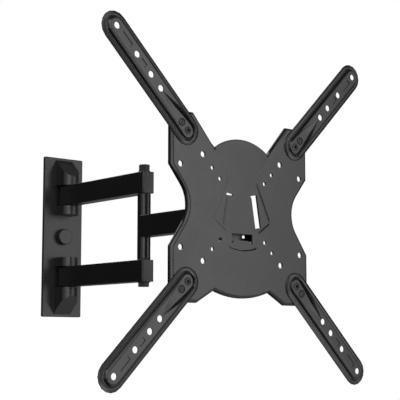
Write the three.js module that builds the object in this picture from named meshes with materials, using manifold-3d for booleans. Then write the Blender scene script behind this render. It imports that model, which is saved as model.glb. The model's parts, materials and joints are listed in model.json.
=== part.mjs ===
// Full motion wall mount for a flat screen. Millimetres.
// Origin: centre of the wall bracket's back face. +X right (facing the wall), +Y into the wall, +Z up.
// "out" below is the distance from the wall into the room, so y = -out.
import * as THREE from "three";
import { mergeVertices } from "three/addons/utils/BufferGeometryUtils.js";
import Module from "manifold-3d";

const wasm = await Module();
wasm.setup();

// ---------------------------------------------------------------- driving dimensions
const GAP = 0.1; // running clearance between neighbouring pieces
const STEEL = 2; // tube wall

const COVER = { width: 68.5, height: 241, out: 4.5, skin: 1.5, corner: 2, edge: 1.2 };
const HOOD = { half: 15, wall: 1.8, inner: 32, outer: 116.4, slope: 0.93, notchLow: 45.4, notchHigh: 76.6 };
const BRACKET = { width: 62, height: 235, thick: 2.9, lagHole: 4, lagHeight: 98 };
const LUG = { half: 12, thick: 4, low: 41, high: 77 };
const CENTRE_CAP = { radius: 12, stem: 7.8, out: 13, edge: 1.5 };

const TUBE = { width: 20, height: 30, corner: 1.5, overhang: 10 };
const CAP = { thick: 3, round: 2, leg: 8, legInner: 6.8, legOuter: 7.9, legHalf: 12.5 };
const REAR_ARM = { centre: 61, wallAxis: 18.5, elbowAxis: 205.5 };
const FOREARM = { start: 209.1, swivelAxis: 360.5 };
const SLEEVE = { outer: 9.25, bore: 6.6, half: 44.4 };
const BUSH = { outer: 6.5, inner: 4.25 };
const THRUST_WASHER = { outer: 9.6, inner: 4.3 };

const M8 = { shank: 4, corner: 8.1, head: 5.3, nut: 6.8, collar: 5.6, washer: 8.5, washerThick: 1.6, tip: 1.6 };
const ELBOW_NUT = 8.6; // height of the tall plain nut on the elbow bolt
const M6 = { shank: 3, corner: 5.77, head: 4, nut: 5, collar: 4.4, tip: 1.2 };

const YOKE = { flange: 16.3, thick: 4, half: 12, webHalf: 14, webOut: 376.5, earInner: 6.5, earOuter: 10, earNose: 8 };
const TILT = { axis: 389, earInner: 11.4, earOuter: 14.4, nose: 8, root: 12, baseLow: -22, baseHigh: 12.4, gauge: 3 };
const TONGUE = { out: 391, half: 31, shoulder: -29.5, waist: 24, knee: -34, foot: 19, low: -37 };
const TONGUE_EYE = [11, -28.8, 17.7, -25.2];

const PLATE = { lift: 3.5, front: 407.5, flangeBack: 400.9, gauge: 2.6, edge: 4.5, recess: 1.5, slope: 1.5 };
const SLOT = { x: 23.4, z: 0.8, width: 10.6, height: 41.5, lean: 9.6, tabLength: 9.6, tabBend: 42, tabHeight: 39.6 };
const WINDOW = { half: 17.3, top: -28.4, bottom: -40.3, lip: [[15.8, -40.3], [14, -37.9], [9, -36.8]] };
const VESA_SMALL = [37.5, 50]; // half pitches of the two small square hole patterns
const VESA_LARGE = [[65, 65], [100, 50]];
const HOLE = { small: 2.65, large: 3.8 };

const EXTENSION = { pivot: 100, inboard: -12, tip: 141.4, holes: [50, 70.7, 100, 141.4], holeRadius: 4.1 };
const POCKET = { start: 45, ramp: 19, floor: 2, screw: -13, screwRadius: 8.6, wall: 1.9, step: 0.6, rise: 1.8, slope: 2.4 };
const DIMPLE = { half: 2.9, depth: 0.9, spans: [[82, 93], [112, 131]] };
const EMBOSS = { front: 413.6, back: 408, foot: 12 };
const RIVET = { shank: 3, head: 4.9, rise: 2.4, tail: 5 };
const LOCK_SCREW = { shank: 3, head: 5, rise: 0.9, nut: 5.77, cross: [2.3, 0.85] };

// ---------------------------------------------------------------- colours
const FINISH = {
  powder: { color: 0x1b1b1d, roughness: 0.55, metalness: 0.3 },
  plastic: { color: 0x19191b, roughness: 0.6, metalness: 0 },
  zinc: { color: 0x3a3b3e, roughness: 0.4, metalness: 0.9 },
  nylon: { color: 0x101011, roughness: 0.7, metalness: 0 },
};

// ---------------------------------------------------------------- solids
function solidOf(geometry) {
  const bare = geometry.index ? geometry.toNonIndexed() : geometry.clone();
  bare.deleteAttribute("normal");
  bare.deleteAttribute("uv");
  const merged = mergeVertices(bare, 1e-4);
  const mesh = new wasm.Mesh({
    numProp: 3,
    vertProperties: merged.attributes.position.array,
    triVerts: new Uint32Array(merged.index.array),
  });
  return new wasm.Manifold(mesh);
}

function geometryOf(solid) {
  const mesh = solid.getMesh();
  const indexed = new THREE.BufferGeometry();
  indexed.setAttribute("position", new THREE.BufferAttribute(new Float32Array(mesh.vertProperties), 3));
  indexed.setIndex(new THREE.BufferAttribute(new Uint32Array(mesh.triVerts), 1));
  const flat = indexed.toNonIndexed();
  flat.computeVertexNormals();
  return flat;
}

const X_AXIS = new THREE.Vector3(1, 0, 0);
const Y_AXIS = new THREE.Vector3(0, 1, 0);
const Z_AXIS = new THREE.Vector3(0, 0, 1);

// Extrudes an outline between two distances along right x up; edge rounds both rims inside the outline.
function extruded(outline, from, to, right, up, holes = [], edge = 0) {
  const shape = new THREE.Shape(outline);
  shape.holes = holes.map((hole) => new THREE.Path(hole));
  const geometry = new THREE.ExtrudeGeometry(shape, {
    depth: to - from - 2 * edge,
    bevelEnabled: edge > 0,
    bevelThickness: edge,
    bevelSize: edge,
    bevelOffset: -edge,
    bevelSegments: Math.max(2, Math.floor(edge)),
    steps: 1,
  });
  geometry.translate(0, 0, from + edge);
  const normal = new THREE.Vector3().crossVectors(right, up);
  geometry.applyMatrix4(new THREE.Matrix4().makeBasis(right, up, normal));
  return solidOf(geometry);
}

// Outline in (x, z), from one distance out to another.
const outward = (outline, from, to, holes, edge) => extruded(outline, from, to, X_AXIS, Z_AXIS, holes, edge);
// Outline in (x, y), between two heights.
const upright = (outline, from, to, holes, edge) => extruded(outline, from, to, X_AXIS, Y_AXIS, holes, edge);
// Outline in (y, z), between two x values.
const sideways = (outline, from, to, holes, edge) => extruded(outline, from, to, Y_AXIS, Z_AXIS, holes, edge);

// ---------------------------------------------------------------- outlines
function arc(cx, cy, radius, start, end, steps) {
  const points = [];
  for (let i = 0; i <= steps; i += 1) {
    const angle = THREE.MathUtils.degToRad(start + ((end - start) * i) / steps);
    points.push(new THREE.Vector2(cx + radius * Math.cos(angle), cy + radius * Math.sin(angle)));
  }
  return points;
}

function circle(cx, cy, radius, steps = 16) {
  return arc(cx, cy, radius, 0, 360, steps).slice(0, -1);
}

function polygon(...corners) {
  return corners.map(([x, y]) => new THREE.Vector2(x, y));
}

function box2(x0, y0, x1, y1) {
  return polygon([x0, y0], [x1, y0], [x1, y1], [x0, y1]);
}

function roundedBox(x0, y0, x1, y1, radius, steps = 3) {
  return [
    ...arc(x1 - radius, y0 + radius, radius, -90, 0, steps),
    ...arc(x1 - radius, y1 - radius, radius, 0, 90, steps),
    ...arc(x0 + radius, y1 - radius, radius, 90, 180, steps),
    ...arc(x0 + radius, y0 + radius, radius, 180, 270, steps),
  ];
}

function mirrored(outline) {
  return outline.map((point) => new THREE.Vector2(-point.x, point.y)).reverse();
}

// Outline moved inward by a margin, corner by corner.
function inset(outline, margin) {
  return outline.map((point, i) => {
    const arriving = point.clone().sub(outline.at(i - 1)).normalize();
    const leaving = outline[(i + 1) % outline.length].clone().sub(point).normalize();
    const inward = new THREE.Vector2(-(arriving.y + leaving.y), arriving.x + leaving.x).normalize();
    return inward.multiplyScalar(margin / Math.sqrt((1 + arriving.dot(leaving)) / 2)).add(point);
  });
}

function shifted(outline, dx, dy) {
  return outline.map((point) => new THREE.Vector2(point.x + dx, point.y + dy));
}

// Strip with a round nose about (0, -axisOut), running back to rootOut; outline in (x, y).
function nosed(half, axisOut, rootOut) {
  const towardRoom = rootOut < axisOut;
  const nose = towardRoom ? arc(0, -axisOut, half, 180, 360, 12) : arc(0, -axisOut, half, 0, 180, 12);
  const root = towardRoom ? [[half, -rootOut], [-half, -rootOut]] : [[-half, -rootOut], [half, -rootOut]];
  return [...nose, ...polygon(...root)];
}

// ---------------------------------------------------------------- turned and hexagonal hardware, about +Z
function pillar(radius, from, to, x, y, steps = 16, bore = 0) {
  const holes = bore ? [circle(x, y, bore, steps)] : [];
  return upright(circle(x, y, radius, steps), from, to, holes);
}

function hexagon(corner, from, to, x, y) {
  return upright(circle(x, y, corner, 6), from, to, [], 0.5);
}

// Bolt with its hexagon head below `under` and its tip above `nutTop`.
function bolt(size, under, nutTop, x, y) {
  const shank = pillar(size.shank, under - 1, nutTop + size.tip, x, y);
  return shank.add(hexagon(size.corner, under - size.head, under, x, y));
}

// Lock nut: a hexagon with the plain collar that holds its nylon ring.
function lockNut(size, from, x, y) {
  const hexTop = from + size.nut * 0.72;
  const collar = pillar(size.collar, hexTop - 1, from + size.nut, x, y);
  const bore = pillar(size.shank + GAP, from - 1, from + size.nut + 1, x, y);
  return hexagon(size.corner, from, hexTop, x, y).add(collar).subtract(bore);
}

function tallNut(from, x, y) {
  const threads = pillar(M8.shank + GAP, from - 1, from + ELBOW_NUT + 1, x, y);
  return hexagon(M8.corner, from, from + ELBOW_NUT, x, y).subtract(threads);
}

function turnedToX(solid, outAxis, height) {
  const geometry = geometryOf(solid);
  geometry.rotateY(Math.PI / 2);
  geometry.translate(0, -outAxis, height);
  return geometry;
}

// ---------------------------------------------------------------- wall side
function lugSolid(low) {
  const outline = nosed(LUG.half, REAR_ARM.wallAxis, BRACKET.thick - 0.5);
  return upright(outline, low, low + LUG.thick, [circle(0, -REAR_ARM.wallAxis, M8.shank + 0.2)]);
}

function wallBracket() {
  const half = BRACKET.width / 2;
  const tall = BRACKET.height / 2;
  const lagHoles = [-1, 1].map((side) => circle(0, side * BRACKET.lagHeight, BRACKET.lagHole));
  let solid = outward(roundedBox(-half, -tall, half, tall, 1.5), 0, BRACKET.thick, lagHoles);
  for (const low of [LUG.low, LUG.high, -LUG.low - LUG.thick, -LUG.high - LUG.thick])
    solid = solid.add(lugSolid(low));
  return solid;
}

// One hinge hood above the centre; `inset` shrinks it evenly for its hollow.
function hoodSolid(inset, backOut) {
  const half = HOOD.half - inset;
  const low = HOOD.inner + inset;
  const profile = nosed(half, REAR_ARM.wallAxis, backOut);
  const body = upright(profile, low, HOOD.outer + 5);
  const drop = inset * Math.hypot(1, HOOD.slope);
  const reach = REAR_ARM.wallAxis + HOOD.half + 5;
  const start = HOOD.outer - drop + HOOD.slope * COVER.out;
  const wedge = polygon([0, start], [-reach, start - HOOD.slope * reach], [-reach, start + 50], [0, start + 50]);
  return body.subtract(sideways(wedge.reverse(), -HOOD.half - 5, HOOD.half + 5));
}

function hoodWithHollow() {
  const notch = upright(
    box2(-HOOD.half - 1, -REAR_ARM.wallAxis - HOOD.half - 1, HOOD.half + 1, -COVER.out),
    HOOD.notchLow,
    HOOD.notchHigh,
  );
  const keepSkin = upright(box2(-HOOD.half, -COVER.out, HOOD.half, 0), HOOD.notchLow, HOOD.notchHigh);
  return {
    outer: hoodSolid(0, COVER.out - 0.5).subtract(notch),
    hollow: hoodSolid(HOOD.wall, 0).subtract(keepSkin),
  };
}

function flipped(solid) {
  const geometry = geometryOf(solid);
  geometry.rotateY(Math.PI);
  return solidOf(geometry);
}

function wallCover() {
  const half = COVER.width / 2;
  const tall = COVER.height / 2;
  const rim = COVER.edge;
  const outline = roundedBox(-half, -tall, half, tall, COVER.corner);
  const block = outward(outline, -rim, COVER.out, [], rim);
  const behindWall = outward(box2(-half - 5, -tall - 5, half + 5, tall + 5), -rim - 5, 0);
  const pocketHalf = BRACKET.width / 2 + GAP;
  const pocketTall = BRACKET.height / 2 + GAP;
  const pocket = outward(box2(-pocketHalf, -pocketTall, pocketHalf, pocketTall), -rim - 5, COVER.out - COVER.skin);
  const stemHole = outward(circle(0, 0, CENTRE_CAP.stem + GAP), 0, COVER.out + 1);
  const { outer, hollow } = hoodWithHollow();
  return block
    .subtract(behindWall)
    .add(outer)
    .add(flipped(outer))
    .subtract(pocket)
    .subtract(hollow)
    .subtract(flipped(hollow))
    .subtract(stemHole);
}

function centreCap() {
  const back = COVER.out + GAP;
  const disc = outward(circle(0, 0, CENTRE_CAP.radius, 36), back - CENTRE_CAP.edge, CENTRE_CAP.out, [], CENTRE_CAP.edge);
  const behind = outward(box2(-20, -20, 20, 20), back - 5, back);
  const stem = outward(circle(0, 0, CENTRE_CAP.stem), BRACKET.thick + GAP, back + 0.5);
  return disc.subtract(behind).add(stem);
}

// ---------------------------------------------------------------- arms
function boxTube(from, to, centre) {
  const half = TUBE.width / 2;
  const tall = TUBE.height / 2;
  const outer = roundedBox(-half, centre - tall, half, centre + tall, TUBE.corner);
  const inner = box2(-half + STEEL, centre - tall + STEEL, half - STEEL, centre + tall - STEEL);
  return outward(outer, from, to, [inner]);
}

function bore(axisOut, centre) {
  return pillar(BUSH.outer + GAP, centre - TUBE.height, centre + TUBE.height, 0, -axisOut);
}

function rearArmTube(centre) {
  const from = REAR_ARM.wallAxis - TUBE.overhang + CAP.thick;
  const to = REAR_ARM.elbowAxis + TUBE.overhang - CAP.thick;
  return boxTube(from, to, centre).subtract(bore(REAR_ARM.wallAxis, centre)).subtract(bore(REAR_ARM.elbowAxis, centre));
}

// Moulded cap over a tube end: a flat face with rounded vertical edges and two legs inside the tube.
// facing is +1 when the cap looks into the room, -1 when it looks at the wall.
function endCap(axisOut, facing, centre) {
  const half = TUBE.width / 2;
  const tall = TUBE.height / 2;
  const face = axisOut + facing * TUBE.overhang;
  const seat = face - facing * (CAP.thick - GAP);
  const round = CAP.round;
  const turn = facing > 0 ? [180, 270, 360] : [0, 90, 180];
  const left = facing > 0 ? -1 : 1;
  const outline = [
    new THREE.Vector2(left * half, -seat),
    ...arc(left * (half - round), -face + facing * round, round, turn[0], turn[1], 4),
    ...arc(-left * (half - round), -face + facing * round, round, turn[1], turn[2], 4),
    new THREE.Vector2(-left * half, -seat),
  ];
  let solid = upright(outline, centre - tall, centre + tall, [], 0.4);
  for (const side of [-1, 1]) {
    const xs = [side * CAP.legInner, side * CAP.legOuter].sort((a, b) => a - b);
    const ys = [-(seat + facing * 1), -(seat - facing * CAP.leg)].sort((a, b) => a - b);
    const leg = upright(box2(xs[0], ys[0], xs[1], ys[1]), centre - CAP.legHalf, centre + CAP.legHalf);
    solid = solid.add(leg);
  }
  return solid;
}

function bush(axisOut, centre, half = TUBE.height / 2) {
  return pillar(BUSH.outer, centre - half, centre + half, 0, -axisOut, 16, BUSH.inner);
}

function thrustWasher(axisOut, from, to) {
  return pillar(THRUST_WASHER.outer, from + GAP, to - GAP, 0, -axisOut, 16, THRUST_WASHER.inner);
}

function flatWasher(axisOut, from) {
  return pillar(M8.washer, from, from + M8.washerThick - GAP, 0, -axisOut, 16, M8.shank + GAP);
}

function elbowSleeve() {
  return pillar(SLEEVE.outer, -SLEEVE.half, SLEEVE.half, 0, -REAR_ARM.elbowAxis, 24, SLEEVE.bore);
}

// Flanged bush at one end of the elbow sleeve; side is +1 at the top.
function elbowBush(side) {
  const end = REAR_ARM.centre - TUBE.height / 2 - GAP;
  const zs = (a, b) => (side > 0 ? [a, b] : [-b, -a]);
  const [stemLow, stemHigh] = zs(SLEEVE.half - 18, end);
  const [rimLow, rimHigh] = zs(SLEEVE.half + GAP, end);
  const rim = pillar(SLEEVE.outer - 0.1, rimLow, rimHigh, 0, -REAR_ARM.elbowAxis, 16, BUSH.inner);
  return pillar(BUSH.outer, stemLow, stemHigh, 0, -REAR_ARM.elbowAxis, 16, BUSH.inner).add(rim);
}

function forearmTube() {
  const to = FOREARM.swivelAxis + TUBE.overhang - CAP.thick;
  const cope = pillar(SLEEVE.outer + 0.05, -TUBE.height, TUBE.height, 0, -REAR_ARM.elbowAxis, 24);
  return boxTube(FOREARM.start, to, 0).subtract(cope).subtract(bore(FOREARM.swivelAxis, 0));
}

// ---------------------------------------------------------------- swivel head
function yoke() {
  const webFront = YOKE.webOut + YOKE.thick;
  const top = YOKE.flange + YOKE.thick;
  let solid = outward(box2(-YOKE.webHalf, -top, YOKE.webHalf, top), YOKE.webOut, webFront, [], 0.8);
  for (const low of [YOKE.flange, -top]) {
    const outline = nosed(YOKE.half, FOREARM.swivelAxis, YOKE.webOut + 1);
    const hole = circle(0, -FOREARM.swivelAxis, M8.shank + 0.2);
    solid = solid.add(upright(outline, low, low + YOKE.thick, [hole]));
  }
  for (const [from, to] of [[YOKE.earInner, YOKE.earOuter], [-YOKE.earOuter, -YOKE.earInner]])
    solid = solid.add(ear(from, to, webFront - 1, YOKE.earNose, 14, M6.shank + 0.2));
  return solid;
}

// Ear pierced for the tilt bolt, between two x values, widening to its root.
function ear(from, to, rootOut, nose, rootHalf, holeRadius) {
  const away = rootOut < TILT.axis ? 1 : -1;
  const centre = -TILT.axis;
  const round = away > 0 ? arc(centre, 0, nose, 90, 270, 12) : arc(centre, 0, nose, -90, 90, 12);
  const root = away > 0 ? [[-rootOut, -rootHalf], [-rootOut, rootHalf]] : [[-rootOut, rootHalf], [-rootOut, -rootHalf]];
  return sideways([...round, ...polygon(...root)], from, to, [circle(centre, 0, holeRadius)]);
}

function swivelBolt() {
  const under = -(YOKE.flange + YOKE.thick);
  return bolt(M8, under, YOKE.flange + YOKE.thick + M8.nut, 0, -FOREARM.swivelAxis);
}

// ---------------------------------------------------------------- screen side
function plateOutline() {
  const right = [
    ...arc(0, 20.2, 128.7, -90, -69.1, 7).slice(1),
    ...polygon([73, -115.5], [100, -115.5], [114.5, -101], [114.5, -49]),
    ...arc(128, 1.5, 40, 218.2, 141.8, 12),
    ...polygon([114.5, 49], [114.5, 101], [100, 115.5], [79, 115.5]),
    ...arc(0, 13.4, 77.1, 54.3, 90, 9).slice(0, -1),
  ];
  const crown = new THREE.Vector2(0, 90.5);
  const foot = new THREE.Vector2(0, -108.5);
  return [foot, ...right, crown, ...mirrored(right)];
}

// Pressed recess: an hourglass that opens into the top arc and closes in a shallow bowl.
function recessOutline(grow) {
  const slant = grow * 1.15;
  const right = polygon(
    [15.1, -48.6 - grow], [21.8 + grow * 0.5, -46.8 - grow], [24.5 + grow, -44.2 - grow * 0.5], [25.9 + grow, -40.2],
    [26.6 + grow, -32.3], [27.4 + grow, -28.3 - grow * 0.5], [29.4 + grow * 0.7, -25.8 - grow], [45.2, -14.4 - slant],
    [47.3 + grow, -11.3 - grow * 0.5], [46.3 + grow, -8.3], [45.7 + grow, -7], [25 + slant, 36.4],
    [25 + slant, 42.6], [45 + slant, 76], [45 + slant, 96],
  );
  return [new THREE.Vector2(0, -50.4 - grow), ...right, ...mirrored(right)];
}

function leaned(outline, side) {
  const angle = THREE.MathUtils.degToRad(-side * SLOT.lean);
  const origin = new THREE.Vector2(0, 0);
  return shifted(outline.map((point) => point.clone().rotateAround(origin, -angle)), side * SLOT.x, SLOT.z);
}

// Curved slot that guides a lock screw while its extension arm turns between diagonal and level.
function guideSlot(sx, sz) {
  const radius = -POCKET.screw;
  const reach = LOCK_SCREW.shank + 0.3;
  const inner = arc(0, 0, radius - reach, 180, 225, 4);
  const end = arc(radius * Math.cos(Math.PI * 1.25), radius * Math.sin(Math.PI * 1.25), reach, 45, -135, 4);
  const outer = arc(0, 0, radius + reach, 225, 180, 4);
  const start = arc(-radius, 0, reach, 180, 0, 4);
  const outline = [...inner, ...end.slice(1, -1), ...outer, ...start.slice(1, -1)];
  const turned = outline.map((p) => new THREE.Vector2(sx * (EXTENSION.pivot + p.x), sz * (EXTENSION.pivot + p.y)));
  return THREE.ShapeUtils.area(turned) < 0 ? turned.reverse() : turned;
}

function lifted(outline) {
  return shifted(outline, 0, PLATE.lift);
}

function plateHoles() {
  const cutters = [];
  const through = (outline) => cutters.push(outward(lifted(outline), PLATE.flangeBack, PLATE.front + 1));
  for (const sx of [-1, 1])
    for (const sz of [-1, 1]) {
      for (const pitch of VESA_SMALL) through(circle(sx * pitch, sz * pitch, HOLE.small, 12));
      for (const [x, z] of VESA_LARGE) through(circle(sx * x, sz * z, HOLE.large, 14));
      through(circle(sx * EXTENSION.pivot, sz * EXTENSION.pivot, RIVET.shank + GAP, 16));
      through(guideSlot(sx, sz));
    }
  return cutters;
}

function slotCutter(side) {
  const half = SLOT.width / 2;
  const tall = SLOT.height / 2;
  return outward(lifted(leaned(box2(-half, -tall, half, tall), side)), PLATE.flangeBack - 20, PLATE.front + 1);
}

// Tab lanced out of a slot, hinged on the slot's inner edge and bent back under the slot.
function slotTab(side) {
  const bend = THREE.MathUtils.degToRad(SLOT.tabBend);
  const floor = PLATE.front - PLATE.recess;
  const edge = -side * (SLOT.width / 2);
  const tipX = edge + side * SLOT.tabLength * Math.cos(bend);
  const tipOut = floor - SLOT.tabLength * Math.sin(bend);
  const section = polygon(
    [edge, -floor], [tipX, -tipOut],
    [tipX - side * PLATE.gauge * Math.sin(bend), -(tipOut - PLATE.gauge * Math.cos(bend))],
    [edge - side * PLATE.gauge * 0.4, -(floor - PLATE.gauge)],
  );
  const low = -SLOT.height / 2;
  const outline = THREE.ShapeUtils.area(section) < 0 ? section.reverse() : section;
  const geometry = geometryOf(upright(outline, low, low + SLOT.tabHeight));
  geometry.rotateY(THREE.MathUtils.degToRad(-side * SLOT.lean));
  geometry.translate(side * SLOT.x, 0, SLOT.z + PLATE.lift);
  return solidOf(geometry);
}

function windowCutter() {
  const { half, top, bottom, lip } = WINDOW;
  const left = lip.map(([x, z]) => [-x, z]);
  const right = [...lip].reverse();
  const outline = polygon([-half, bottom], ...left, ...right, [half, bottom], [half, top], [-half, top]);
  return outward(lifted(outline), PLATE.flangeBack, PLATE.front + 1);
}

function vesaPlate() {
  const outline = lifted(plateOutline());
  const back = PLATE.front - PLATE.gauge;
  const floor = PLATE.front - PLATE.recess;
  const everything = box2(-130, -130, 130, 130);
  const shell = outward(outline, PLATE.flangeBack - PLATE.edge, PLATE.front, [], PLATE.edge);
  const behind = outward(everything, PLATE.flangeBack - 10, PLATE.flangeBack);
  const bend = PLATE.edge - PLATE.gauge;
  const inside = outward(inset(outline, PLATE.gauge), PLATE.flangeBack - 5, back, [], bend);
  const arcFlange = outward(lifted(box2(-45, 72, 45, 96)), PLATE.flangeBack - 5, floor - PLATE.gauge);
  const recess = lofted(lifted(recessOutline(-PLATE.slope)), floor, lifted(recessOutline(0)), PLATE.front).add(
    outward(lifted(recessOutline(0)), PLATE.front, PLATE.front + 1),
  );
  const pan = outward(lifted(recessOutline(PLATE.gauge)), floor - PLATE.gauge, back + 0.5).intersect(
    outward(outline, PLATE.flangeBack, PLATE.front),
  );
  let solid = shell.subtract(behind).subtract(inside).subtract(arcFlange).add(pan).subtract(recess);
  for (const side of [-1, 1]) solid = solid.subtract(slotCutter(side)).add(slotTab(side));
  solid = solid.subtract(windowCutter());
  for (const cutter of plateHoles()) solid = solid.subtract(cutter);
  return solid;
}

function tiltBracket() {
  const baseFront = PLATE.front - PLATE.recess - PLATE.gauge - GAP;
  const baseBack = baseFront - 3;
  let solid = outward(box2(-TILT.earOuter, TILT.baseLow, TILT.earOuter, TILT.baseHigh), baseBack, baseFront);
  for (const [from, to] of [[TILT.earInner, TILT.earOuter], [-TILT.earOuter, -TILT.earInner]])
    solid = solid.add(ear(from, to, baseBack + 1, TILT.nose, TILT.root, M6.shank + GAP));
  return solid.add(tiltTongue(baseFront)).subtract(tongueEye());
}

// Joggled tongue below the tilt ears: back along a shelf, then a wide plate behind the screen plate's window.
function tiltTongue(baseFront) {
  const { baseLow, earOuter, gauge } = TILT;
  const { out, half, shoulder, waist, knee, foot, low } = TONGUE;
  const shelf = outward(box2(-earOuter, baseLow - gauge, earOuter, baseLow), out, baseFront);
  const root = outward(box2(-earOuter, baseLow - gauge, earOuter, baseLow + 1), baseFront - gauge, baseFront);
  const outline = polygon(
    [-half, baseLow], [-half, shoulder], [-waist, knee], [-foot, low],
    [foot, low], [waist, knee], [half, shoulder], [half, baseLow],
  );
  return shelf.add(root).add(outward(outline, out, out + gauge));
}

function tongueEye() {
  return outward(box2(...TONGUE_EYE), TONGUE.out - 1, TONGUE.out + TILT.gauge + 1);
}

function tiltBolt() {
  return turnedToX(bolt(M6, -TILT.earOuter - GAP, TILT.earOuter + M6.nut, 0, 0), TILT.axis, 0);
}

function tiltNut() {
  return turnedToX(lockNut(M6, TILT.earOuter + GAP, 0, 0), TILT.axis, 0);
}

function frictionWasher(side) {
  const [from, to] = side > 0 ? [YOKE.earOuter, TILT.earInner] : [-TILT.earInner, -YOKE.earOuter];
  return turnedToX(pillar(7, from + GAP, to - GAP, 0, 0, 16, M6.shank + 0.2), TILT.axis, 0);
}

function tiltSpacer() {
  const reach = YOKE.earInner - GAP;
  return turnedToX(pillar(5.5, -reach, reach, 0, 0, 16, M6.shank + 0.2), TILT.axis, 0);
}

// ---------------------------------------------------------------- extension arms
// Built with the pivot at the local origin, the arm along +X and its front toward the room.
function obround(half, from = EXTENSION.inboard, to = EXTENSION.tip) {
  return [...arc(to, 0, half, -90, 90, 8), ...arc(from, 0, half, 90, 270, 8)];
}

// Cross-section of the pressed arm as rings [half width, out]: raised panel, sloped shoulder, groove and rolled rim.
const ARM_FRONT = [
  [8.1, EMBOSS.front], [9.2, 413.3], [11.2, 411.4], [11.9, 409.4], [12.6, 409], [13.8, 409.7], [14.6, 409.9],
  [16.6, 409.3], [18, 408.7], [18.5, 407.9],
];
const ARM_BACK = [[17, 407.9], [14.2, 408.2], [12.9, 407.9], [11.6, 407.9], [10.4, 409], [10, 410.6], [8, 412]];

function ringSweep(rings) {
  return skinned(rings.map(([half, out]) => raised(obround(half), out)));
}

function raised(outline, out) {
  return outline.map((p) => new THREE.Vector3(p.x, -out, p.y));
}

// Solid between an outline at one distance out and its partner, point for point, at another.
function lofted(low, lowOut, high, highOut) {
  return skinned([raised(low, lowOut), raised(high, highOut)]);
}

// Closed skin over loops of equal length, capped on the first and the last.
function skinned(loops) {
  const points = [];
  const triangle = (...corners) => points.push(...corners.flatMap((p) => [p.x, p.y, p.z]));
  const count = loops[0].length;
  for (let i = 0; i + 1 < loops.length; i += 1)
    for (let k = 0; k < count; k += 1) {
      const next = (k + 1) % count;
      triangle(loops[i][k], loops[i][next], loops[i + 1][next]);
      triangle(loops[i][k], loops[i + 1][next], loops[i + 1][k]);
    }
  const [first, last] = [loops[0], loops[loops.length - 1]];
  const flat = (loop) => loop.map((p) => new THREE.Vector2(p.x, p.z));
  for (const [a, b, c] of THREE.ShapeUtils.triangulateShape(flat(first), [])) triangle(first[a], first[c], first[b]);
  for (const [a, b, c] of THREE.ShapeUtils.triangulateShape(flat(last), [])) triangle(last[a], last[b], last[c]);
  const geometry = new THREE.BufferGeometry();
  geometry.setAttribute("position", new THREE.Float32BufferAttribute(points, 3));
  const solid = solidOf(geometry);
  if (solid.volume() > 0) return solid;
  const flippedPoints = [];
  for (let i = 0; i < points.length; i += 9)
    flippedPoints.push(...points.slice(i, i + 3), ...points.slice(i + 6, i + 9), ...points.slice(i + 3, i + 6));
  geometry.setAttribute("position", new THREE.Float32BufferAttribute(flippedPoints, 3));
  return solidOf(geometry);
}

// Teardrop pocket round the pivot and the lock screw; grow adds a wall round it.
function pocketOutline(grow) {
  const radius = POCKET.screwRadius + grow;
  const side = [[POCKET.start + grow * 0.4, 0], [19, 5 + grow], [0, 7.6 + grow]];
  const upper = side.slice(1).map(([x, y]) => new THREE.Vector2(x, y));
  const lower = upper.map((p) => new THREE.Vector2(p.x, -p.y)).reverse();
  return [new THREE.Vector2(...side[0]), ...upper, ...arc(POCKET.screw, 0, radius, 90, 270, 8), ...lower];
}

// Pocket hollow: steep at its foot, then a wide bevel up to its rim.
function pocketHollow(grow, floor, front) {
  const { step, rise, slope } = POCKET;
  return skinned([
    raised(pocketOutline(grow), floor),
    raised(pocketOutline(grow + step), floor + rise),
    raised(pocketOutline(grow + slope), front),
  ]);
}

// Wedge across the pocket's narrow end, from a low edge at `start` to a high edge past its apex.
function pocketRamp(start, low, high) {
  const end = POCKET.start + 3;
  return upright(polygon([start, -low], [end, -high], [end, -low]), -EMBOSS.foot, EMBOSS.foot);
}

function extensionArm() {
  const seat = PLATE.front + GAP;
  const floor = seat + POCKET.floor;
  const front = EMBOSS.front;
  const { wall, slope } = POCKET;
  const pocket = pocketHollow(0, floor, front).subtract(pocketRamp(POCKET.ramp, floor, front));
  const foot = outward(pocketOutline(wall), seat, floor + 0.5);
  const cup = foot.add(pocketHollow(wall, floor, front).intersect(ringSweep(ARM_FRONT)));
  const underside = pocketRamp(POCKET.ramp + 1, seat - 1, front - 2);
  const sheet = ringSweep([...ARM_FRONT, ...ARM_BACK]);
  let solid = sheet.subtract(outward(pocketOutline(wall), seat - 1, floor + 0.5)).subtract(pocket);
  solid = solid.add(cup.subtract(underside));
  solid = solid.subtract(pocket).subtract(outward(pocketOutline(slope), front, front + 2));
  for (const [from, to] of DIMPLE.spans)
    solid = solid.subtract(outward(box2(from, -DIMPLE.half, to, DIMPLE.half), front - DIMPLE.depth, front + 1));
  for (const at of EXTENSION.holes)
    solid = solid.subtract(outward(circle(at, 0, EXTENSION.holeRadius, 16), EMBOSS.back - 1, front + 2));
  solid = solid.subtract(outward(circle(0, 0, RIVET.shank + GAP, 16), seat - 1, front + 1));
  solid = solid.subtract(outward(circle(POCKET.screw, 0, LOCK_SCREW.shank + GAP, 16), seat - 1, front + 1));
  return geometryOf(solid);
}

// Turned profile [radius, out] about the local pivot axis, at a distance along the arm.
function turnedOut(profile, along) {
  const points = profile.map(([radius, out]) => new THREE.Vector2(radius, out));
  const geometry = new THREE.LatheGeometry(points, 16);
  geometry.rotateX(Math.PI);
  geometry.translate(along, 0, 0);
  return geometry;
}

function pivotRivet() {
  const seat = PLATE.front + GAP + POCKET.floor + GAP;
  const back = PLATE.front - PLATE.gauge - GAP;
  return turnedOut(
    [
      [0, back - 2], [RIVET.tail, back - 2], [RIVET.tail, back], [RIVET.shank, back], [RIVET.shank, seat],
      [RIVET.head, seat], [RIVET.head, seat + 0.5], [RIVET.head * 0.85, seat + 1.4], [RIVET.head * 0.5, seat + 2.1],
      [0, seat + RIVET.rise],
    ],
    0,
  );
}

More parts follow.
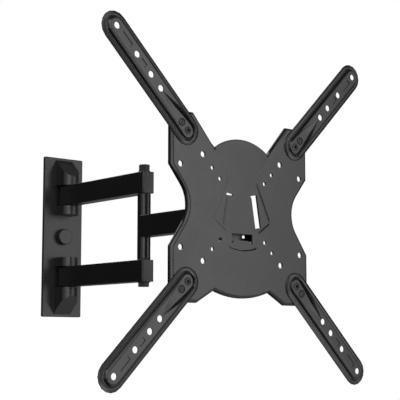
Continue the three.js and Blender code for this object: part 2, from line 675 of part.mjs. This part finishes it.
function lockScrew() {
  const seat = PLATE.front + GAP + POCKET.floor + GAP;
  const back = PLATE.front - PLATE.gauge - 6;
  const { shank, head, rise } = LOCK_SCREW;
  const body = turnedOut(
    [
      [0, back], [shank, back], [shank, seat], [head, seat], [head, seat + rise * 0.2],
      [head * 0.85, seat + rise * 0.6], [head * 0.5, seat + rise * 0.9], [0, seat + rise],
    ],
    POCKET.screw,
  );
  const [long, narrow] = LOCK_SCREW.cross;
  const slot = (a, b) => outward(box2(POCKET.screw - a, -b, POCKET.screw + a, b), seat - 1.4, seat + rise + 1);
  return geometryOf(solidOf(body).subtract(slot(long, narrow)).subtract(slot(narrow, long)));
}

function screwNut() {
  const front = PLATE.front - PLATE.gauge - GAP;
  const corners = circle(POCKET.screw, 0, LOCK_SCREW.nut, 6);
  return geometryOf(outward(corners, front - 3, front, [circle(POCKET.screw, 0, LOCK_SCREW.shank + GAP, 16)]));
}

// ---------------------------------------------------------------- assembly
const group = new THREE.Group();
group.name = "full_motion_wall_mount";

function addPiece(name, made, finish) {
  const geometry = made.isBufferGeometry ? made : geometryOf(made);
  const mesh = new THREE.Mesh(geometry, new THREE.MeshStandardMaterial(FINISH[finish]));
  mesh.name = name;
  group.add(mesh);
}

function addWallSide() {
  addPiece("wall_bracket", wallBracket(), "powder");
  addPiece("wall_cover", wallCover(), "plastic");
  addPiece("centre_cap", centreCap(), "plastic");
  const under = LUG.low - GAP;
  const top = LUG.high + LUG.thick;
  for (const [name, turn] of [["upper", (solid) => solid], ["lower", flipped]]) {
    addPiece(`hinge_bolt_${name}`, turn(bolt(M8, under, top + M8.nut, 0, -REAR_ARM.wallAxis)), "zinc");
    addPiece(`hinge_nut_${name}`, turn(lockNut(M8, top + GAP, 0, -REAR_ARM.wallAxis)), "zinc");
    const low = LUG.low + LUG.thick;
    addPiece(`hinge_washer_${name}_inner`, turn(thrustWasher(REAR_ARM.wallAxis, low, low + 1)), "nylon");
    addPiece(`hinge_washer_${name}_outer`, turn(thrustWasher(REAR_ARM.wallAxis, LUG.high - 1, LUG.high)), "nylon");
  }
}

function addRearArms() {
  for (const [name, centre] of [["upper", REAR_ARM.centre], ["lower", -REAR_ARM.centre]]) {
    addPiece(`rear_arm_${name}`, rearArmTube(centre), "powder");
    addPiece(`rear_arm_${name}_wall_cap`, endCap(REAR_ARM.wallAxis, -1, centre), "plastic");
    addPiece(`rear_arm_${name}_front_cap`, endCap(REAR_ARM.elbowAxis, 1, centre), "plastic");
    addPiece(`hinge_bush_${name}`, bush(REAR_ARM.wallAxis, centre), "nylon");
    addPiece(`elbow_spacer_${name}`, bush(REAR_ARM.elbowAxis, centre), "zinc");
  }
  const end = REAR_ARM.centre + TUBE.height / 2;
  const seat = end + M8.washerThick;
  addPiece("elbow_bolt", bolt(M8, -seat, seat + ELBOW_NUT - 2 * M8.tip, 0, -REAR_ARM.elbowAxis), "zinc");
  addPiece("elbow_nut", tallNut(seat, 0, -REAR_ARM.elbowAxis), "zinc");
  addPiece("elbow_washer_top", flatWasher(REAR_ARM.elbowAxis, end), "zinc");
  addPiece("elbow_washer_bottom", flatWasher(REAR_ARM.elbowAxis, -seat + GAP), "zinc");
}

function addForearm() {
  addPiece("elbow_sleeve", elbowSleeve(), "powder");
  addPiece("elbow_bush_top", elbowBush(1), "nylon");
  addPiece("elbow_bush_bottom", elbowBush(-1), "nylon");
  addPiece("forearm_tube", forearmTube(), "powder");
  addPiece("forearm_cap", endCap(FOREARM.swivelAxis, 1, 0), "plastic");
  addPiece("swivel_bush", bush(FOREARM.swivelAxis, 0), "nylon");
}

function addHead() {
  const half = TUBE.height / 2;
  addPiece("swivel_yoke", yoke(), "powder");
  addPiece("swivel_bolt", swivelBolt(), "zinc");
  addPiece("swivel_nut", lockNut(M8, YOKE.flange + YOKE.thick, 0, -FOREARM.swivelAxis), "zinc");
  addPiece("swivel_washer_top", thrustWasher(FOREARM.swivelAxis, half, YOKE.flange), "nylon");
  addPiece("swivel_washer_bottom", thrustWasher(FOREARM.swivelAxis, -YOKE.flange, -half), "nylon");
  addPiece("tilt_spacer", tiltSpacer(), "zinc");
}

function addScreenSide() {
  addPiece("vesa_plate", vesaPlate(), "powder");
  addPiece("tilt_bracket", tiltBracket(), "powder");
  addPiece("tilt_bolt", tiltBolt(), "zinc");
  addPiece("tilt_nut", tiltNut(), "zinc");
  addPiece("tilt_washer_right", frictionWasher(1), "nylon");
  addPiece("tilt_washer_left", frictionWasher(-1), "nylon");
}

// The four extension arms point along the diagonals from their rivets.
function addExtension(name, sx, sz) {
  const place = new THREE.Matrix4()
    .makeTranslation(sx * EXTENSION.pivot, 0, sz * EXTENSION.pivot + PLATE.lift)
    .multiply(new THREE.Matrix4().makeRotationY(-Math.atan2(sz, sx)));
  addPiece(`extension_arm_${name}`, extensionArm().applyMatrix4(place), "powder");
  addPiece(`pivot_rivet_${name}`, pivotRivet().applyMatrix4(place), "powder");
  addPiece(`lock_screw_${name}`, lockScrew().applyMatrix4(place), "zinc");
  addPiece(`lock_nut_${name}`, screwNut().applyMatrix4(place), "zinc");
}

addWallSide();
addRearArms();
addForearm();
addHead();
addScreenSide();
addExtension("upper_left", -1, 1);
addExtension("upper_right", 1, 1);
addExtension("lower_left", -1, -1);
addExtension("lower_right", 1, -1);

export default group;
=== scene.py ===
import json
import math

import bmesh
import bpy
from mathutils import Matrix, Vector


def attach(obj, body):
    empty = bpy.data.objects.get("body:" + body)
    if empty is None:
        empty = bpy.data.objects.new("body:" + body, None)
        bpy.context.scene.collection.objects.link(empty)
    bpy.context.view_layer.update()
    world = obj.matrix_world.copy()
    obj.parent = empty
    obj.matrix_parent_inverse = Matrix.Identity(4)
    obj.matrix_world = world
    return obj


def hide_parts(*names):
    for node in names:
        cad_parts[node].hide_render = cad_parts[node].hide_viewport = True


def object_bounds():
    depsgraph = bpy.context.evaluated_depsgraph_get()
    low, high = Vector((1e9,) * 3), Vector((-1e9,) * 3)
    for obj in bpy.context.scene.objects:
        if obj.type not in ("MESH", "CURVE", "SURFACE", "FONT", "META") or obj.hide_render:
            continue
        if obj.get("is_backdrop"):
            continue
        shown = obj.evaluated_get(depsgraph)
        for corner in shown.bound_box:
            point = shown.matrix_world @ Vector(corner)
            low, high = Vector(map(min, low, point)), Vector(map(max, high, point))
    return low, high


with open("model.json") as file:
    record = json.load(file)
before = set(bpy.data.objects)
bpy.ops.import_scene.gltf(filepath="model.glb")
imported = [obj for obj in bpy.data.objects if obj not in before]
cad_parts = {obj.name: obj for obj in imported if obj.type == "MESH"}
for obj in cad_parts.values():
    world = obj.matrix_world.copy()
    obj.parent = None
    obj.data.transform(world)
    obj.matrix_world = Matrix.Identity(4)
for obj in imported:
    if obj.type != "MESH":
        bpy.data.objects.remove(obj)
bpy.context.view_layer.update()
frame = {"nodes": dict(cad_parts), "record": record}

# ---------------------------------------------------------------- driving values
MM = 0.001
SHARP = math.radians(32)  # edges sharper than this are real edges, the rest is a rounded surface
FLAT = math.radians(0.6)  # faces that meet at less than this are one flat face
MERGE_DISTANCE = 2e-6
EDGE_SEGMENTS = 2
EDGE_MARK = "edge_wear"  # face attribute that is 1 on rounded edges

EDGE_WIDTH = {  # radius of the softened edges on each kind of piece
    "powder_steel": 0.35 * MM,
    "cover_plastic": 0.45 * MM,
    "black_fastener": 0.2 * MM,
    "zinc_steel": 0.2 * MM,
    "nylon": 0.15 * MM,
}

CAMERA_FIELD = math.radians(20)
CAMERA_PLACE = Vector((-0.9491, -1.4430, -0.1608))
CAMERA_HEADING = math.radians(-40.33)  # from +Y, negative towards +X
CAMERA_RISE = math.radians(7.24)
FLOOR_DROP = 0.75  # floor below the mount's lowest point
FLOOR_RADIUS = 7.0
FLOOR_MIDDLE_Y = -0.2

SIGHT_LINE = (0.642, 0.756, 0.126)  # the way the camera looks
DIM_GLOW = 0.05  # the room's glow away from the sight line, as the mount sees it
AHEAD_GLOW = 0.18  # and along it
LIGHT_AIM = Vector((0.0, -0.25, 0.0))  # middle of the mount
LIGHT_DISTANCE = 2.2


# ---------------------------------------------------------------- node helpers
def new_material(name):
    material = bpy.data.materials.new(name)
    material.use_nodes = True
    nodes = material.node_tree.nodes
    nodes.clear()
    output = nodes.new("ShaderNodeOutputMaterial")
    shader = nodes.new("ShaderNodeBsdfPrincipled")
    material.node_tree.links.new(shader.outputs["BSDF"], output.inputs["Surface"])
    return material, shader


def add_noise(material, feature, detail=3.0, roughness=0.55):
    """Solid noise whose features are about `feature` metres across."""
    tree = material.node_tree
    place = tree.nodes.new("ShaderNodeTexCoord")
    noise = tree.nodes.new("ShaderNodeTexNoise")
    noise.inputs["Scale"].default_value = 1.0 / feature
    noise.inputs["Detail"].default_value = detail
    noise.inputs["Roughness"].default_value = roughness
    tree.links.new(place.outputs["Object"], noise.inputs["Vector"])
    return noise.outputs["Fac"]


def ramp(material, value, low, high, start=0.3, end=0.7):
    """Maps a 0..1 value to the span from low to high, which are numbers or colours."""
    tree = material.node_tree
    node = tree.nodes.new("ShaderNodeValToRGB")
    node.color_ramp.elements[0].position = start
    node.color_ramp.elements[1].position = end
    for element, colour in zip(node.color_ramp.elements, (low, high)):
        element.color = (*colour, 1.0) if isinstance(colour, tuple) else (colour, colour, colour, 1.0)
    tree.links.new(value, node.inputs["Fac"])
    return node.outputs["Color"]


def edge_rub(material, feature, low=0.5, high=0.62):
    """0..1 mask of the places where rounded edges are rubbed, broken up at about `feature` metres."""
    tree = material.node_tree
    mark = tree.nodes.new("ShaderNodeAttribute")
    mark.attribute_name = EDGE_MARK
    patches = ramp(material, add_noise(material, feature, 4.0, 0.65), 0.0, 1.0, low, high)
    product = tree.nodes.new("ShaderNodeMath")
    product.operation = "MULTIPLY"
    tree.links.new(mark.outputs["Fac"], product.inputs[0])
    tree.links.new(patches, product.inputs[1])
    return product.outputs["Value"]


def blend(material, mask, base, over):
    """Output `base` where the mask is 0, the number or colour `over` where it is 1."""
    tree = material.node_tree
    mix = tree.nodes.new("ShaderNodeMixRGB")
    colour = over if isinstance(over, tuple) else (over, over, over)
    mix.inputs["Color2"].default_value = (*colour, 1.0)
    tree.links.new(mask, mix.inputs["Fac"])
    tree.links.new(base, mix.inputs["Color1"])
    return mix.outputs["Color"]


def add_bump(material, shader, heights):
    """Stacks bump from (height output, depth in metres, strength) triples."""
    tree = material.node_tree
    normal = None
    for height, depth, strength in heights:
        bump = tree.nodes.new("ShaderNodeBump")
        bump.inputs["Distance"].default_value = depth
        bump.inputs["Strength"].default_value = strength
        tree.links.new(height, bump.inputs["Height"])
        if normal is not None:
            tree.links.new(normal, bump.inputs["Normal"])
        normal = bump.outputs["Normal"]
    tree.links.new(normal, shader.inputs["Normal"])


# ---------------------------------------------------------------- materials
def powder_coat():
    """Satin black powder coat: fine orange peel, slow drift in gloss, faint dust, edges rubbed to grey."""
    material, shader = new_material("powder_coat")
    tree = material.node_tree
    drift = add_noise(material, 35 * MM, 4.0)
    dust = add_noise(material, 1.6 * MM, 5.0, 0.7)
    peel = add_noise(material, 0.8 * MM, 2.0)
    grain = add_noise(material, 0.22 * MM, 2.0)
    rubbed = edge_rub(material, 9 * MM)
    colour = ramp(material, dust, (0.0028, 0.0028, 0.0031), (0.0055, 0.0055, 0.0060))
    colour = blend(material, rubbed, colour, (0.020, 0.020, 0.021))
    tree.links.new(colour, shader.inputs["Base Color"])
    gloss = ramp(material, drift, 0.24, 0.31)
    tree.links.new(blend(material, rubbed, gloss, 0.2), shader.inputs["Roughness"])
    add_bump(material, shader, [(peel, 0.02 * MM, 0.25), (grain, 0.005 * MM, 0.3)])
    return material


def moulded_plastic():
    """Black moulding with a fine eroded grain, polished where edges are handled."""
    material, shader = new_material("moulded_plastic")
    tree = material.node_tree
    grain = add_noise(material, 0.45 * MM, 3.0, 0.6)
    cloud = add_noise(material, 22 * MM, 3.0)
    rubbed = edge_rub(material, 14 * MM)
    colour = ramp(material, cloud, (0.0060, 0.0060, 0.0064), (0.0095, 0.0095, 0.0101))
    tree.links.new(colour, shader.inputs["Base Color"])
    gloss = ramp(material, grain, 0.30, 0.39)
    tree.links.new(blend(material, rubbed, gloss, 0.24), shader.inputs["Roughness"])
    add_bump(material, shader, [(grain, 0.035 * MM, 0.5)])
    return material


def black_zinc():
    """Blackened zinc plating, patchy in tone and gloss, brighter where a spanner has rubbed the corners."""
    material, shader = new_material("black_zinc")
    tree = material.node_tree
    patch = add_noise(material, 3 * MM, 4.0, 0.6)
    scuff = add_noise(material, 0.5 * MM, 5.0, 0.7)
    rubbed = edge_rub(material, 2 * MM)
    colour = ramp(material, patch, (0.012, 0.012, 0.013), (0.030, 0.030, 0.032))
    colour = blend(material, rubbed, colour, (0.12, 0.12, 0.123))
    tree.links.new(colour, shader.inputs["Base Color"])
    tree.links.new(ramp(material, scuff, 0.28, 0.46), shader.inputs["Roughness"])
    shader.inputs["Metallic"].default_value = 0.55
    add_bump(material, shader, [(scuff, 0.015 * MM, 0.3)])
    return material


def plain_zinc():
    """Bright zinc plating, dulled and cloudy, with faint turning marks."""
    material, shader = new_material("plain_zinc")
    tree = material.node_tree
    patch = add_noise(material, 4 * MM, 4.0, 0.6)
    colour = ramp(material, patch, (0.30, 0.30, 0.31), (0.46, 0.46, 0.47))
    tree.links.new(colour, shader.inputs["Base Color"])
    tree.links.new(ramp(material, patch, 0.3, 0.5), shader.inputs["Roughness"])
    shader.inputs["Metallic"].default_value = 1.0
    marks = add_noise(material, 0.3 * MM, 4.0, 0.7)
    add_bump(material, shader, [(marks, 0.01 * MM, 0.3)])
    return material


def nylon():
    """Matt black nylon, slightly mottled."""
    material, shader = new_material("nylon")
    tree = material.node_tree
    mottle = add_noise(material, 1.2 * MM, 3.0)
    colour = ramp(material, mottle, (0.008, 0.008, 0.009), (0.014, 0.014, 0.015))
    tree.links.new(colour, shader.inputs["Base Color"])
    tree.links.new(ramp(material, mottle, 0.5, 0.62), shader.inputs["Roughness"])
    add_bump(material, shader, [(mottle, 0.02 * MM, 0.3)])
    return material


def floor_paint():
    """Pale paint, slightly mottled, with a glow of its own that keeps it pale where little light falls."""
    material, shader = new_material("floor_paint")
    mottle = add_noise(material, 60 * MM, 3.0)
    colour = ramp(material, mottle, (0.80, 0.80, 0.80), (0.83, 0.83, 0.83))
    for socket in ("Base Color", "Emission Color"):
        material.node_tree.links.new(colour, shader.inputs[socket])
    shader.inputs["Emission Strength"].default_value = 0.75
    shader.inputs["Roughness"].default_value = 0.8
    return material


MATERIALS = {
    "powder_steel": powder_coat(),
    "cover_plastic": moulded_plastic(),
    "black_fastener": black_zinc(),
    "zinc_steel": plain_zinc(),
    "nylon": nylon(),
}


# ---------------------------------------------------------------- pieces
def softened_mesh(source, width):
    """A copy of a mesh with its flat faces joined up, its real edges rounded and marked, its curves smooth."""
    mesh = bmesh.new()
    mesh.from_mesh(source)
    bmesh.ops.remove_doubles(mesh, verts=mesh.verts, dist=MERGE_DISTANCE)
    bmesh.ops.dissolve_limit(mesh, angle_limit=FLAT, verts=mesh.verts, edges=mesh.edges)
    sharp = [edge for edge in mesh.edges if edge.is_manifold and edge.calc_face_angle(0) > SHARP]
    mark = mesh.faces.layers.float.new(EDGE_MARK)
    rounded = bmesh.ops.bevel(
        mesh,
        geom=sharp,
        offset=width,
        offset_type="OFFSET",
        segments=EDGE_SEGMENTS,
        profile=0.5,
        affect="EDGES",
        clamp_overlap=True,
        harden_normals=False,
    )
    for face in rounded["faces"]:
        face[mark] = 1.0
    for face in mesh.faces:
        face.smooth = True
    for edge in mesh.edges:
        edge.smooth = edge.is_manifold and edge.calc_face_angle(0) < SHARP
    copy = bpy.data.meshes.new(source.name + "_soft")
    mesh.to_mesh(copy)
    mesh.free()
    return copy


def body_of_node(name):
    for body, members in frame["record"]["behaviour"]["bodies"].items():
        if name in members:
            return body
    raise ValueError(f"no body holds {name}")


def refine(node, slot):
    """Shows a node as its softened copy, riding on the node's own body."""
    source = frame["nodes"][node]
    piece = bpy.data.objects.new("fine_" + node, softened_mesh(source.data, EDGE_WIDTH[slot]))
    bpy.context.scene.collection.objects.link(piece)
    piece.data.materials.clear()
    piece.data.materials.append(MATERIALS[slot])
    weighted = piece.modifiers.new("flat faces stay flat", "WEIGHTED_NORMAL")
    weighted.keep_sharp = True
    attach(piece, body_of_node(node))
    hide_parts(node)
    return piece


def refine_every_node():
    for part in frame["record"]["subparts"]:
        refine(part["node"], part["material_slot"])


# ---------------------------------------------------------------- studio
def place_camera():
    data = bpy.data.cameras.new("camera")
    data.sensor_fit = "AUTO"
    data.angle = CAMERA_FIELD
    camera = bpy.data.objects.new("camera", data)
    bpy.context.scene.collection.objects.link(camera)
    camera.location = CAMERA_PLACE
    camera.rotation_euler = (math.pi / 2 + CAMERA_RISE, 0.0, CAMERA_HEADING)
    bpy.context.scene.camera = camera


def lay_floor(lowest):
    """Pale disc below the mount, hidden from gloss and diffuse rays so that its glow lights no piece."""
    mesh = bmesh.new()
    bmesh.ops.create_circle(mesh, cap_ends=True, segments=96, radius=FLOOR_RADIUS)
    data = bpy.data.meshes.new("floor")
    mesh.to_mesh(data)
    mesh.free()
    floor = bpy.data.objects.new("floor", data)
    floor.location = (0.0, FLOOR_MIDDLE_Y, lowest - FLOOR_DROP)
    bpy.context.scene.collection.objects.link(floor)
    data.materials.append(floor_paint())
    floor.visible_diffuse = False
    floor.visible_glossy = False
    floor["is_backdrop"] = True


def area_light(name, direction, width, height, power):
    """Soft box in the given direction from the middle of the mount, facing it."""
    data = bpy.data.lights.new(name, "AREA")
    data.shape = "RECTANGLE"
    data.size = width
    data.size_y = height
    data.energy = power
    light = bpy.data.objects.new(name, data)
    way = Vector(direction).normalized()
    light.location = LIGHT_AIM + way * LIGHT_DISTANCE
    light.rotation_euler = (-way).to_track_quat("-Z", "Y").to_euler()
    light.visible_camera = False
    bpy.context.scene.collection.objects.link(light)


def white_studio():
    """White all round for the camera; for all other rays a dim glow, stronger along the sight line."""
    world = bpy.data.worlds.new("studio")
    bpy.context.scene.world = world
    world.use_nodes = True
    tree = world.node_tree
    tree.nodes.clear()
    output = tree.nodes.new("ShaderNodeOutputWorld")
    mix = tree.nodes.new("ShaderNodeMixShader")
    seen = tree.nodes.new("ShaderNodeBackground")
    lit = tree.nodes.new("ShaderNodeBackground")
    path = tree.nodes.new("ShaderNodeLightPath")
    place = tree.nodes.new("ShaderNodeTexCoord")
    along = tree.nodes.new("ShaderNodeVectorMath")
    along.operation = "DOT_PRODUCT"
    along.inputs[1].default_value = SIGHT_LINE
    glow = tree.nodes.new("ShaderNodeValToRGB")
    glow.color_ramp.elements[0].position = 0.45
    glow.color_ramp.elements[0].color = (DIM_GLOW, DIM_GLOW, DIM_GLOW, 1)
    glow.color_ramp.elements[1].position = 0.92
    glow.color_ramp.elements[1].color = (AHEAD_GLOW, AHEAD_GLOW, AHEAD_GLOW, 1)
    tree.links.new(place.outputs["Generated"], along.inputs[0])
    tree.links.new(along.outputs["Value"], glow.inputs["Fac"])
    tree.links.new(glow.outputs["Color"], lit.inputs["Color"])
    seen.inputs["Color"].default_value = (1, 1, 1, 1)
    tree.links.new(path.outputs["Is Camera Ray"], mix.inputs["Fac"])
    tree.links.new(lit.outputs["Background"], mix.inputs[1])
    tree.links.new(seen.outputs["Background"], mix.inputs[2])
    tree.links.new(mix.outputs["Shader"], output.inputs["Surface"])


def light_studio():
    """Each soft box: direction, width and height in metres, power in watts."""
    area_light("right", (0.50, -0.86, 0.09), 0.8, 2.0, 12.5)
    area_light("far_right", (0.74, -0.67, 0.09), 0.6, 2.0, 4.5)
    area_light("front", (0.04, -1.00, 0.09), 1.0, 1.4, 2.3)
    area_light("left", (-0.42, -0.90, 0.09), 0.8, 2.0, 17)
    area_light("far_left", (-0.74, -0.67, 0.09), 0.9, 2.0, 11)
    area_light("side", (-0.98, -0.17, 0.09), 1.2, 2.0, 5)
    area_light("low_front", (-0.07, -0.82, -0.57), 1.8, 1.0, 16)
    area_light("high_front", (-0.07, -0.74, 0.67), 1.8, 1.0, 10.5)
    area_light("high_left", (-0.64, -0.37, 0.67), 1.4, 1.0, 13)
    area_light("floor_bounce", (0.50, -0.45, -0.74), 3.2, 2.6, 16)
    area_light("behind", (0.13, 0.75, 0.64), 1.8, 1.2, 16)


refine_every_node()
place_camera()
lay_floor(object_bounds()[0][2])
white_studio()
light_studio()
bpy.context.scene.view_settings.view_transform = "Standard"
